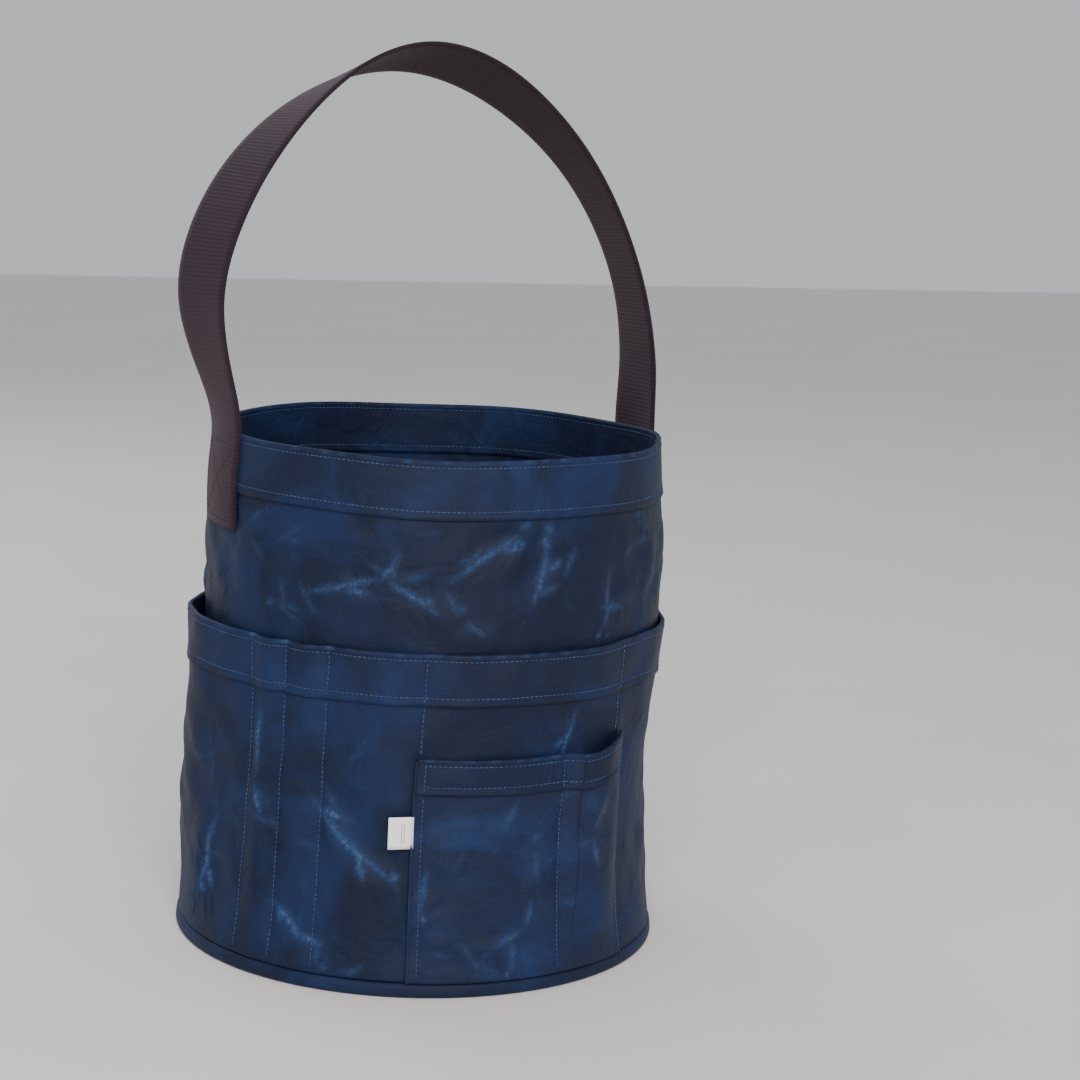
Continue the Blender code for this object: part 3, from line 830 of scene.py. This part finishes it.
def build_wall():
    heights = heights_between(POCKET_FLOOR, HEIGHT - 5.0 * MM, 0.95 * MM, POCKET_TOP - 0.012)
    azimuth, height = np.meshgrid(CREASED, heights)
    mark, bump = crease_field(azimuth, height, creases(7, WALL_CREASES, 0.72, 70, (-120, 236), (198, 264)))
    free = smooth(height, 0.190, 0.206) * (1 - smooth(height, 0.256, 0.267))
    radius = wall_radius(azimuth, height) - CLOTH / 2 + bump * free
    sheet = thick_sheet("wall_cloth", on_bag(azimuth, radius, height), CLOTH, True, mark)
    finish(sheet, CANVAS, "canvas_panel", "wall_panel")

    def inner(azimuth, height):
        return wall_radius(azimuth, height) - CLOTH

    depth = HEIGHT - RIM_LOW - CLOTH
    band = folded_band("rim_band", AROUND, inner, wall_radius, rim_top, depth, RIM_ROWS, True)
    finish(band, BAND, "canvas_band", "rim_binding")

    azimuths = np.arange(0, 360, 0.75)
    for level, drop in zip(("upper", "lower"), RIM_ROWS):
        name = f"rim_stitches_{level}"
        row = rim_top(azimuths) - drop
        outside = face_route(azimuths, row, wall_radius, ROW_FACE)
        points, normals = face_route(azimuths, row, inner, -ROW_FACE)
        rows = [stitch_row(name, outside, closed=True), stitch_row(name, (points, -normals), closed=True)]
        sewn_rows(name, rows, f"rim_stitch_{level}")
    build_back_seam(inner)


def build_back_seam(inner):
    """Tape over the wall's join, inside at the back, and its two rows of stitches through the wall."""
    half_tape, half_rows = 4.2, 3.2
    columns = 180 + np.linspace(-half_tape, half_tape, 9)
    azimuth, height = np.meshgrid(columns, heights_between(0.022, RIM_LOW - 0.001, 4 * MM))
    raised = 0.3 * MM * bell(azimuth - 180, 2.0)
    radius = wall_radius(azimuth, height) - CLOTH * 1.5 - SLACK - raised
    worn = 0.35 * bell(np.abs(azimuth - 180) - half_tape, 0.8)
    tape = thick_sheet("back_seam_strip", on_bag(azimuth, radius, height), CLOTH, False, worn)
    finish(tape, BAND, "canvas_band", "back_seam_tape")

    name = "back_seam_stitches"
    rows = []
    levels = np.arange(0.024, RIM_LOW - 0.003, 4 * MM)
    for side in (-half_rows, half_rows):
        azimuths = np.full(levels.shape, 180 + side)
        points, normals = face_route(azimuths, levels, inner, -BAND_FACE - 0.05 * MM)
        rows.append(stitch_row(name, (points, -normals)))
        rows.append(stitch_row(name, face_route(azimuths, levels, wall_radius)))
    sewn_rows(name, rows)


def build_pockets():
    heights = heights_between(POCKET_FLOOR, POCKET_TOP - 1.6 * MM, 1.1 * MM)
    azimuth, height = np.meshgrid(CREASED, heights)
    mark, bump = crease_field(azimuth, height, creases(19, POCKET_CREASES, 0.85, 90, (-120, 236), (12, 160)))
    hidden = smooth(azimuth, PATCH_LEFT - 1, PATCH_LEFT + 1)
    hidden *= 1 - smooth(azimuth, PATCH_RIGHT - 1, PATCH_RIGHT + 1)
    hidden *= 1 - smooth(height, PATCH_TOP - 0.006, PATCH_TOP)
    free = smooth(height, 0.010, 0.024) * (1 - smooth(height, 0.152, 0.164))
    bump = bump * (1 - hidden) * free * (1 - np.minimum(1, seam_dip(azimuth, SEAMS, 2.2)))
    mark = np.maximum(mark, 0.14 * np.minimum(1, seam_dip(azimuth, SEAMS)) * (1 - hidden))
    radius = pocket_outer(azimuth, height) - CLOTH / 2 + bump
    sheet = thick_sheet("pocket_cloth", on_bag(azimuth, radius, height), CLOTH, True, mark)
    finish(sheet, CANVAS, "canvas_panel", "pocket_panel")

    depth = POCKET_TOP - POCKET_LOW - CLOTH
    band = folded_band("pocket_band", AROUND, pocket_inner, pocket_outer, pocket_top, depth, POCKET_ROWS,
                       True, SEAMS)
    finish(band, BAND, "canvas_band", "pocket_binding")

    azimuths = np.arange(0, 360, 0.5)
    for level, drop in zip(("upper", "lower"), POCKET_ROWS):
        name = f"pocket_stitches_{level}"
        route = face_route(azimuths, pocket_top(azimuths) - drop, pocket_outer, ROW_FACE)
        sewn_rows(name, [stitch_row(name, route, closed=True)], f"pocket_stitch_{level}")

    for number, azimuth in enumerate(SEAMS, 1):
        low = patch_top(azimuth) + 0.002 if PATCH_LEFT < azimuth < PATCH_RIGHT else SEAM_LOW
        upright_seam(f"divider_stitches_{number}", azimuth, low, POCKET_LOW, POCKET_TOP, pocket_outer,
                     f"divider_stitch_{number}")


def build_patch():
    flat = np.linspace(PATCH_LEFT, PATCH_FOLD - 2, 84)
    fold = np.linspace(PATCH_FOLD - 1.8, PATCH_FOLD + 0.6, 15)
    bellows = np.linspace(PATCH_FOLD + 0.9, PATCH_RIGHT, 46)
    azimuths = np.concatenate([flat, fold, bellows])
    azimuth, share = np.meshgrid(azimuths, np.linspace(0, 1, 104))
    height = POCKET_FLOOR + (patch_top(azimuth) - 1.6 * MM - POCKET_FLOOR) * share
    mark, bump = crease_field(azimuth, height, creases(5, PATCH_CREASES, 0.80, 20, (-24, 31), (12, 112)))
    calm = smooth(height, 0.010, 0.024) * (1 - smooth(height, 0.100, 0.113))
    bump = bump * calm * (1 - np.minimum(1, seam_dip(azimuth, PATCH_SEAMS, 2.0)))
    uneven = 0.6 + ripple(azimuth, height, 31, 0.02, 0.6)
    mark = np.maximum(mark, 0.25 * bell(azimuth - PATCH_LEFT, 0.35) * uneven)
    mark = np.maximum(mark, 0.22 * bell(azimuth - PATCH_FOLD - 1.5, 0.5))
    hem = 0.9 * MM * bell(azimuth - PATCH_LEFT, 0.6)
    radius = patch_outer(azimuth, height) - CLOTH / 2 + bump + hem
    sheet = thick_sheet("patch_cloth", on_bag(azimuth, radius, height), CLOTH, False, mark)
    finish(sheet, LIT_PATCH_CANVAS, "canvas_panel", "patch_pocket_panel")

    band = folded_band("patch_band", azimuths[1:-1], patch_inner, patch_outer, patch_top, PATCH_BAND - CLOTH,
                       PATCH_ROWS, False)
    finish(band, BAND, "canvas_band", "patch_pocket_binding")

    line = np.linspace(PATCH_HEM + 0.4, PATCH_RIGHT_SEAM - 0.4, 140)
    for level, drop in zip(("upper", "lower"), PATCH_ROWS):
        name = f"patch_stitches_{level}"
        route = face_route(line, patch_top(line) - drop, patch_outer, ROW_FACE)
        sewn_rows(name, [stitch_row(name, route)], f"patch_stitch_{level}")

    for place, azimuth in zip(("left", "middle", "right"), PATCH_SEAMS):
        top = patch_top(azimuth)
        upright_seam(f"patch_seam_stitches_{place}", azimuth, SEAM_LOW, top - PATCH_BAND, top, patch_outer,
                     f"patch_seam_{place}")


def build_base():
    """Base cloth with its rolled lip, the lining, the board and the strip over the bottom seam."""
    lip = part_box("base_panel")[1][2]
    radius = BASE_RADIUS + 0.5 * MM
    roll = 2.2 * MM
    lower = [(radius - roll + roll * sin(a), roll * (1 - cos(a))) for a in np.linspace(0, pi / 2, 6)]
    upper = [(radius - 0.5 * MM, lip - 2.0 * MM), (radius - 1.4 * MM, lip - 0.4 * MM)]
    upper += [(radius - 3.2 * MM, lip - 0.1 * MM), (radius - 4.2 * MM, lip - 1.4 * MM)]
    inside = [(radius - 6.5 * MM, lip / 2), (0.1345, CLOTH), (0.10, CLOTH), (0.0, CLOTH)]
    profile = [(0.0, 0.0), (0.05, 0.0), (0.10, 0.0), (0.13, 0.0)] + lower + upper + inside
    shell = turned_solid("base_cloth", profile[::-1])
    shell.data.flip_normals()
    finish(shell, BAND, "canvas_base", "base_panel")

    low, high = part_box("base_lining")[0][2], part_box("base_lining")[1][2]
    profile = [(0.0, low), (0.133, low), (0.1348, low + 0.3 * MM), (0.1342, high)]
    profile += [(0.12, high + 0.2 * MM), (0.07, high + 0.5 * MM), (0.0, high + 0.3 * MM)]
    lining = turned_solid("floor_lining", profile[::-1])
    lining.data.flip_normals()
    finish(lining, SHADED_INSIDE_CANVAS, "canvas_base", "base_lining")

    azimuths = np.arange(0, 360, 2.0)
    low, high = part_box("base_seam_binding")[0][2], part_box("base_seam_binding")[1][2]
    lines = []
    for turn in np.linspace(-0.5, 0.5, 9) * pi:
        height = (low + high) / 2 + (high - low) / 2 * sin(turn)
        swell = 1.4 * MM * cos(turn)
        lines.append(on_bag(azimuths, wall_radius(azimuths, height) - CLOTH * 1.5 - SLACK - swell, height))
    worn = np.full((len(lines), len(azimuths)), 0.1)
    strip = thick_sheet("base_seam_strip", np.stack(lines), CLOTH, True, worn)
    finish(strip, BAND, "canvas_band", "base_seam_binding")

    for slot in frame["nodes"]["base_stiffener"].material_slots:
        slot.material = BOARD


def build_label():
    """Folded white tab on the patch pocket's left hem, made about its own sewn edge."""
    joint = next(j for j in frame["record"]["behaviour"]["joints"] if j["name"] == "label_flap")
    root = Vector(joint["pos_m"])
    low, high = (Vector(corner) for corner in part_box("side_label"))
    far = max(low.y, high.y, key=lambda y: abs(y - root.y))
    along = Vector((low.x - root.x, far - root.y, 0.0)).normalized()
    outward = Vector((0, 0, 1)).cross(along)
    if outward.y > 0:
        outward.negate()
    middle = (LABEL_LOW + LABEL_HIGH) / 2
    half = (LABEL_HIGH - LABEL_LOW) / 2
    width = 14 * MM
    # Share of the width and millimetres off the pocket, out along the front leaf and back along the other
    loop = [(0.0, 0.55), (0.3, 0.62), (0.6, 0.6), (0.9, 0.5), (0.98, 0.38), (1.0, 0.22)]
    loop += [(0.98, 0.06), (0.9, -0.05), (0.6, 0.0), (0.3, 0.05), (0.0, 0.02)]
    rows, coords = [], []
    for level in np.linspace(-1, 1, 7):
        row = []
        for share, lift in loop:
            curl = 0.5 * share ** 2 * (0.4 + 0.6 * level ** 2)
            spot = root + along * share * width + outward * (lift + curl) * MM
            row.append((spot.x, spot.y, middle + level * half))
            coords.append((share * width, level * half, lift))
        rows.append(row)
    tape = 0.22 * MM
    label = thick_sheet("woven_tab", np.array(rows), tape, False, None, "label", coords + coords)
    finish(label, LABEL, "woven_label", "side_label")


def beside_bag(side, height):
    """Place and twist of the webbing where it lies against the bag's side."""
    azimuth = 90.0 * side
    band = BAND_FACE if height > RIM_LOW - 0.004 else 0.0
    radius = wall_radius(azimuth, np.array(height)) + band + SLACK + 0.3 * MM + WEBBING_THICKNESS / 2
    x, _, z = on_bag(azimuth, radius, height)
    return x, 0.0, z, 0.0


def webbing_line():
    """Centre points, width directions and normals up the left side, over the arch and down the right side."""
    sewn = (SEWN_LOW, RIM_LOW, 0.284, 0.299)
    left = [beside_bag(-1, height) for height in sewn]
    right = [beside_bag(1, height) for height in reversed(sewn)]
    turn = np.radians(np.arange(20, 161, 14))
    belly = ARCH_BELLY * np.sin(2 * turn) * np.cos(turn) ** 2
    sway = ARCH_SWAY * smooth(np.sin(turn), 0.0, 0.5)
    twist = ARCH_CURL * np.sin(3 * turn) + ARCH_SKEW * (np.sin(2 * turn) - np.sin(turn))
    arch = np.stack([-ARCH_HALF_SPAN * np.cos(turn) - belly - sway, ARCH_LEAN * np.sin(turn) ** 2,
                     HEIGHT + ARCH_RISE * np.sin(turn), twist], axis=1)
    stations = np.array(left + arch.tolist() + right, dtype=float)
    knots = running_length(stations[:, :3])
    at = np.linspace(0, knots[-1], round(knots[-1] / (RIB / ROWS_PER_RIB)))
    centre = np.stack([natural_spline(knots, stations[:, k], at) for k in range(3)], axis=1)
    twist = np.radians(natural_spline(knots, stations[:, 3], at))
    forward = np.gradient(centre, axis=0)
    forward /= np.linalg.norm(forward, axis=1, keepdims=True)
    level = np.array([0.0, 1.0, 0.0]) - forward[:, 1:2] * forward
    level /= np.linalg.norm(level, axis=1, keepdims=True)
    side = np.cross(forward, level)
    across = np.cos(twist)[:, None] * level + np.sin(twist)[:, None] * side
    return centre, across, np.cross(forward, across)


def build_handle():
    """One strip of ribbed webbing, and the box stitches on its two sewn ends."""
    centre, across, normal = webbing_line()
    run = running_length(centre)
    count = len(run)
    half = WEBBING_WIDTH / 2
    thick = WEBBING_THICKNESS / 2
    face, edge = half - 0.7 * MM, half - 0.15 * MM
    flat = [-1.0, -0.82, -0.5, -0.18, 0.18, 0.5, 0.82, 1.0]
    # Places round the section: metres from its middle, and share of half its thickness
    section = [(w * face, 1.0) for w in flat] + [(edge, 0.6), (half, 0.0), (edge, -0.6)]
    section += [(w * face, -1.0) for w in flat[::-1]] + [(-edge, -0.6), (-half, 0.0), (-edge, 0.6)]
    hug = (1 - smooth(centre[:, 2], SEWN_TOP, FREE_FROM)) / SEWN_RADIUS
    ribs = np.sin(2 * pi * run / RIB)
    rings, coords = [], []
    for w, t in section:
        rib = FACE_RIB * ribs * t if abs(t) == 1.0 else EDGE_RIB * ribs * t
        lift = thick * t + rib - hug * w * w / 2
        rings.append(centre + across * w + normal * lift[:, None])
        coords.append(np.stack([run, np.full(count, w), np.full(count, t * thick)], axis=1))
    points = np.stack(rings, axis=1).reshape(-1, 3)
    sides = len(section)
    grid = np.arange(count * sides).reshape(count, sides)
    turn = np.roll(grid, -1, axis=1)
    faces = np.stack([grid[:-1], grid[1:], turn[1:], turn[:-1]], axis=-1).reshape(-1, 4).tolist()
    faces += [grid[0].tolist(), grid[-1][::-1].tolist()]
    strip = new_piece("webbing_strip", points, faces, None, None, np.stack(coords, axis=1))
    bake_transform(strip)
    finish(strip, WEBBING, "webbing", "handle_webbing", "handle_end_left", "handle_end_right")

    for place, sign in (("left", -1), ("right", 1)):
        limb = np.where((centre[:, 2] < 0.31) & (centre[:, 0] * sign > 0))[0][::-sign]
        build_box_stitches(place, sign, centre[limb])


def build_box_stitches(place, sign, limb):
    """A box and its two diagonals on a sewn end, whose centre points run upwards in limb."""
    name = f"handle_box_stitches_{place}"
    inset = 5 * MM
    low, high = SEWN_LOW + inset, HEIGHT - inset
    reach = WEBBING_WIDTH / 2 - inset
    corners = ((-reach, low), (reach, low), (reach, high), (-reach, high))
    lines = [(corners[i], corners[(i + 1) % 4]) for i in range(4)]
    lines += [(corners[0], corners[2]), (corners[1], corners[3])]
    rows = []
    share = np.linspace(0.03, 0.97, 24)
    for (w0, z0), (w1, z1) in lines:
        w, z = w0 + (w1 - w0) * share, z0 + (z1 - z0) * share
        base = np.stack([np.interp(z, limb[:, 2], limb[:, k]) for k in range(3)], axis=1)
        out = WEBBING_THICKNESS / 2 - w * w / 2 / SEWN_RADIUS
        spots = base + np.stack([sign * out, w, np.zeros(w.shape)], axis=1)
        facing = np.stack([np.full(w.shape, float(sign)), w / SEWN_RADIUS, np.zeros(w.shape)], axis=1)
        rows.append(stitch_row(name, (spots, facing), pitch=3.0 * MM, lift=0.1 * MM))
    sewn_rows(name, rows, f"handle_stitch_{place}", material=DARK_THREAD, slot="dark_thread")


# --- stage, light and camera ---

FLOOR_HALF = 6.0
FLOOR_DROP = 0.0002
BAG_MIDDLE = (0.0, 0.0, 0.22)

# Area lights: name, place, width and height, power and colour
LIGHTS = (
    ("window", (-0.8, -2.1, 1.5), (1.2, 1.2), 66, (1.0, 0.98, 0.95)),
    ("fill", (1.9, -1.2, 1.0), (1.4, 1.4), 3, (0.92, 0.96, 1.0)),
    ("back", (-0.6, 1.9, 1.6), (1.5, 1.0), 16, (0.95, 0.97, 1.0)),
)

# Camera: distance from the bag's axis, step to its right, height, and azimuth, yaw, pitch and roll in degrees
CAMERA_DISTANCE = 1.4105
CAMERA_ASIDE = 0.004
CAMERA_HEIGHT = 0.4698
CAMERA_ANGLES = (23, 2.462, 9.422, 2.593)
CAMERA_SENSOR = 36.0
CAMERA_LENS = 80.0


def area_light(name, place, size, power, colour):
    data = bpy.data.lights.new(name, "AREA")
    data.shape = "RECTANGLE"
    data.size, data.size_y = size
    data.energy = power
    data.color = colour
    lamp = new_object(name, data)
    lamp.location = place
    lamp.rotation_euler = (Vector(BAG_MIDDLE) - Vector(place)).to_track_quat("-Z", "Y").to_euler()


def build_stage():
    """Pale floor, even sky and three area lights."""
    mesh = bpy.data.meshes.new("floor")
    corners = [(x * FLOOR_HALF, y * FLOOR_HALF, 0) for x, y in ((-1, -1), (1, -1), (1, 1), (-1, 1))]
    mesh.from_pydata(corners, [], [(0, 1, 2, 3)])
    floor = new_object("floor", mesh)
    floor.location.z = -FLOOR_DROP
    material, tree, shader = new_material("floor")
    place = object_place(tree)
    tone = ramp(tree, noise(tree, place, 3.0, 2.0), 0.3, 0.7)
    colour = mix_colour(tree, tone, (0.76, 0.72, 0.69, 1), (0.79, 0.75, 0.72, 1))
    link(tree, colour, shader.inputs["Base Color"])
    shader.inputs["Roughness"].default_value = 0.7
    floor.data.materials.append(material)

    world = bpy.data.worlds.new("studio")
    bpy.context.scene.world = world
    world.use_nodes = True
    background = world.node_tree.nodes["Background"]
    background.inputs["Color"].default_value = (0.80, 0.83, 0.88, 1)
    background.inputs["Strength"].default_value = 0.72

    for light in LIGHTS:
        area_light(*light)


def build_camera():
    """Camera to the left of the front, a little above the rim, rolled slightly."""
    turn, yaw, pitch, roll = (radians(angle) for angle in CAMERA_ANGLES)
    heading = turn + yaw
    forward = Vector((sin(heading) * cos(pitch), cos(heading) * cos(pitch), -sin(pitch)))
    level = Vector((cos(heading), -sin(heading), 0.0))
    upward = level.cross(forward)
    right = cos(roll) * level + sin(roll) * upward
    top = -sin(roll) * level + cos(roll) * upward
    back = CAMERA_DISTANCE * Vector((-sin(turn), -cos(turn), 0.0))
    aside = CAMERA_ASIDE * Vector((cos(turn), -sin(turn), 0.0))
    spot = back + aside + Vector((0.0, 0.0, CAMERA_HEIGHT))
    data = bpy.data.cameras.new("camera")
    data.sensor_width = CAMERA_SENSOR
    data.lens = CAMERA_LENS
    camera = new_object("camera", data)
    camera.matrix_world = Matrix.Translation(spot) @ Matrix((right, top, -forward)).transposed().to_4x4()
    bpy.context.scene.camera = camera


build_camera()
build_stage()
build_base()
build_wall()
build_pockets()
build_patch()
build_label()
build_handle()
